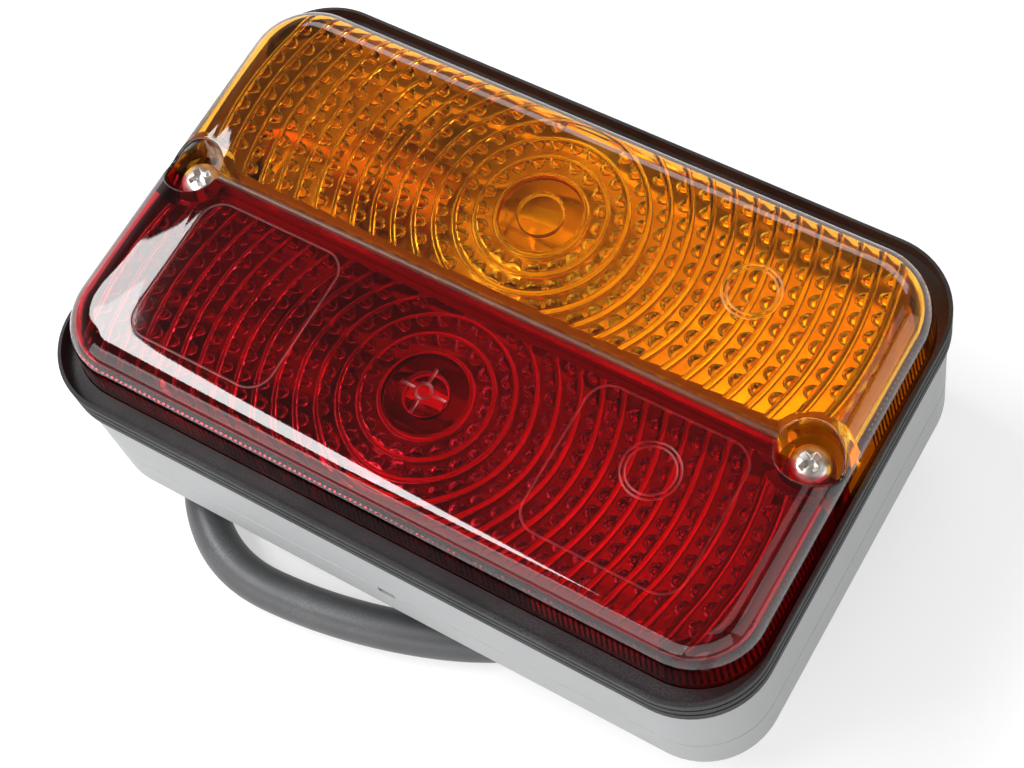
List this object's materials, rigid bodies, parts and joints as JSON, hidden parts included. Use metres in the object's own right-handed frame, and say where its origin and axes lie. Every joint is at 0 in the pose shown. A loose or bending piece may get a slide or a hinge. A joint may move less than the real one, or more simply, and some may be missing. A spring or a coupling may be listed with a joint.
{
  "type": "vehicle rear lamp",
  "caption": "Rectangular rear lamp: amber and red ring-patterned lens halves on a grey housing with a ridged rubber rim, mounting studs, and a short sleeved cable with a plug.",
  "frame": {"origin": "on the back plane of the rear cover, midway between the mounting studs", "axes": "+X along the lamp, +Y towards the amber half, +Z out of the lens"},
  "size_m": [0.158, 0.1129, 0.0645],
  "materials": {
    "amber_lens": "clear amber moulding",
    "red_lens": "clear red moulding",
    "rim_rubber": "ridged dark rubber",
    "grey_plastic": "fine-grained light grey plastic",
    "zinc": "bright zinc plate",
    "steel": "zinc-plated steel",
    "brass": "plain brass",
    "reflector": "bright metallised plastic",
    "insulator": "brown laminate",
    "bulb_glass": "clear glass",
    "filament": "tungsten wire",
    "wire_amber": "insulated wire",
    "wire_red": "insulated wire",
    "wire_black": "insulated wire",
    "boot_rubber": "moulded rubber",
    "cable_sleeve": "dark grey soft sleeve",
    "plug_plastic": "black plastic"
  },
  "bodies": {
    "root": {"amber_lens": "amber_lens", "red_lens": "red_lens", "rim_gasket": "rim_rubber", "housing": "grey_plastic", "rear_cover": "grey_plastic", "lens_screws": "zinc", "screw_inserts": "brass", "cover_screws": "zinc", "stud_strip": "steel", "mounting_studs": "zinc", "reflectors": "reflector", "socket_brackets": "steel", "socket_shells": "brass", "contact_insulators": "insulator", "contact_pins": "brass", "wire_sleeves": "brass", "bulb_caps": "brass", "bulb_glasses": "bulb_glass", "filaments": "filament", "bracket_rivets": "steel", "ground_strap": "brass", "wire_turn": "wire_amber", "wire_tail": "wire_red", "wire_ground": "wire_black", "cable_boot": "boot_rubber", "cable_sleeve": "cable_sleeve", "connector_body": "plug_plastic", "connector_pins": "brass"}
  },
  "joints": []
}
